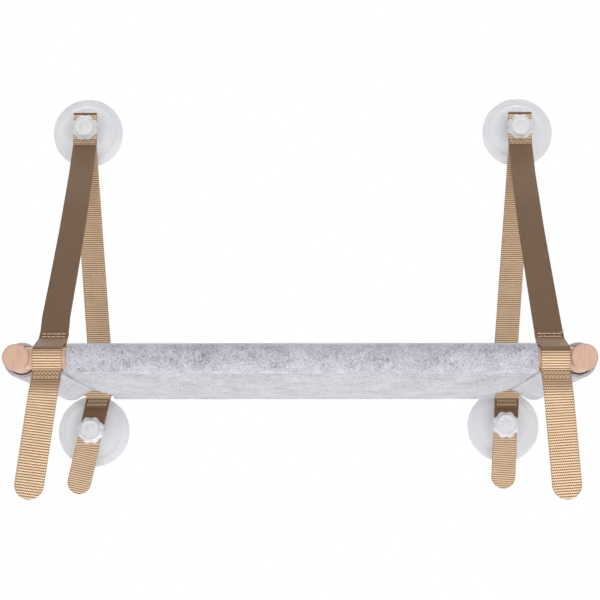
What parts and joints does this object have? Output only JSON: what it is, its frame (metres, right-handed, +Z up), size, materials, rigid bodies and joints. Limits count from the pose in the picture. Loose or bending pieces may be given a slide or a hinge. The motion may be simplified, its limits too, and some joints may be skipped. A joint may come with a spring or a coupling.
{
  "type": "window mounted cat perch",
  "caption": "Hanging cat bed on a dowel frame with a felt cover, held to a window by suction cups and folded webbing straps.",
  "frame": {"origin": "on the window glass, in the middle between the two sides, at the height of the frame's rail axes", "axes": "+Y out of the room into the glass, +Z up, +X to the right as seen from the room"},
  "size_m": [0.548, 0.3683, 0.44],
  "materials": {
    "beech": "sanded, unvarnished",
    "insert_metal": "plain",
    "bolt_metal": "zinc plated",
    "felt": "mottled needled felt",
    "cup_plastic": "translucent, glossy",
    "nut_plastic": "milky, glossy",
    "webbing": "ribbed weave"
  },
  "bodies": {
    "window_side": {"upper_left_cup": "cup_plastic", "upper_right_cup": "cup_plastic", "lower_left_cup": "cup_plastic", "lower_right_cup": "cup_plastic", "left_strap_fold": "webbing", "right_strap_fold": "webbing", "left_rear_strap": "webbing", "right_rear_strap": "webbing", "left_rear_loop_patch": "webbing", "right_rear_loop_patch": "webbing", "left_front_leg": "webbing", "right_front_leg": "webbing"},
    "frame": {"left_side_rail": "beech", "right_side_rail": "beech", "front_rail": "beech", "rear_rail": "beech", "threaded_inserts": "insert_metal", "frame_bolts": "bolt_metal", "felt_bed": "felt", "felt_front_sleeve": "felt", "felt_rear_sleeve": "felt", "felt_left_sleeve": "felt", "felt_right_sleeve": "felt", "left_front_loop": "webbing", "right_front_loop": "webbing", "left_front_loop_patch": "webbing", "right_front_loop_patch": "webbing"},
    "upper_left_nut_body": {"upper_left_nut": "nut_plastic"},
    "upper_right_nut_body": {"upper_right_nut": "nut_plastic"},
    "lower_left_nut_body": {"lower_left_nut": "nut_plastic"},
    "lower_right_nut_body": {"lower_right_nut": "nut_plastic"},
    "left_front_tail_body": {"left_front_tail": "webbing"},
    "right_front_tail_body": {"right_front_tail": "webbing"},
    "left_rear_tail_body": {"left_rear_tail": "webbing"},
    "right_rear_tail_body": {"right_rear_tail": "webbing"}
  },
  "joints": [
    {"name": "frame_fold", "type": "hinge", "parent": "window_side", "child": "frame", "pos_m": [0, -0.02, 0], "axis": [-1, 0, 0], "range_deg": [0, 60], "deforming": ["left_front_leg", "right_front_leg"]},
    {"name": "upper_left_nut_turn", "type": "hinge", "parent": "window_side", "child": "upper_left_nut_body", "pos_m": [-0.236, -0.0322, 0.281], "axis": [0, -1, 0], "range_deg": [0, 864]},
    {"name": "upper_right_nut_turn", "type": "hinge", "parent": "window_side", "child": "upper_right_nut_body", "pos_m": [0.236, -0.0322, 0.281], "axis": [0, -1, 0], "range_deg": [0, 864]},
    {"name": "lower_left_nut_turn", "type": "hinge", "parent": "window_side", "child": "lower_left_nut_body", "pos_m": [-0.2241, -0.0305, -0.0465], "axis": [0, -1, 0], "range_deg": [0, 864]},
    {"name": "lower_right_nut_turn", "type": "hinge", "parent": "window_side", "child": "lower_right_nut_body", "pos_m": [0.2153, -0.0305, -0.041], "axis": [0, -1, 0], "range_deg": [0, 864]},
    {"name": "left_front_tail_swing", "type": "hinge", "parent": "frame", "child": "left_front_tail_body", "pos_m": [-0.217, -0.36429, -0.02131], "axis": [1, 0, 0], "range_deg": [-60, 60]},
    {"name": "right_front_tail_swing", "type": "hinge", "parent": "frame", "child": "right_front_tail_body", "pos_m": [0.217, -0.36429, -0.02131], "axis": [1, 0, 0], "range_deg": [-60, 60]},
    {"name": "left_rear_tail_swing", "type": "hinge", "parent": "window_side", "child": "left_rear_tail_body", "pos_m": [-0.2274, -0.02485, -0.062], "axis": [-1, 0, 0], "range_deg": [0, 60]},
    {"name": "right_rear_tail_swing", "type": "hinge", "parent": "window_side", "child": "right_rear_tail_body", "pos_m": [0.2143, -0.02485, -0.0565], "axis": [-1, 0, 0], "range_deg": [0, 60]}
  ]
}
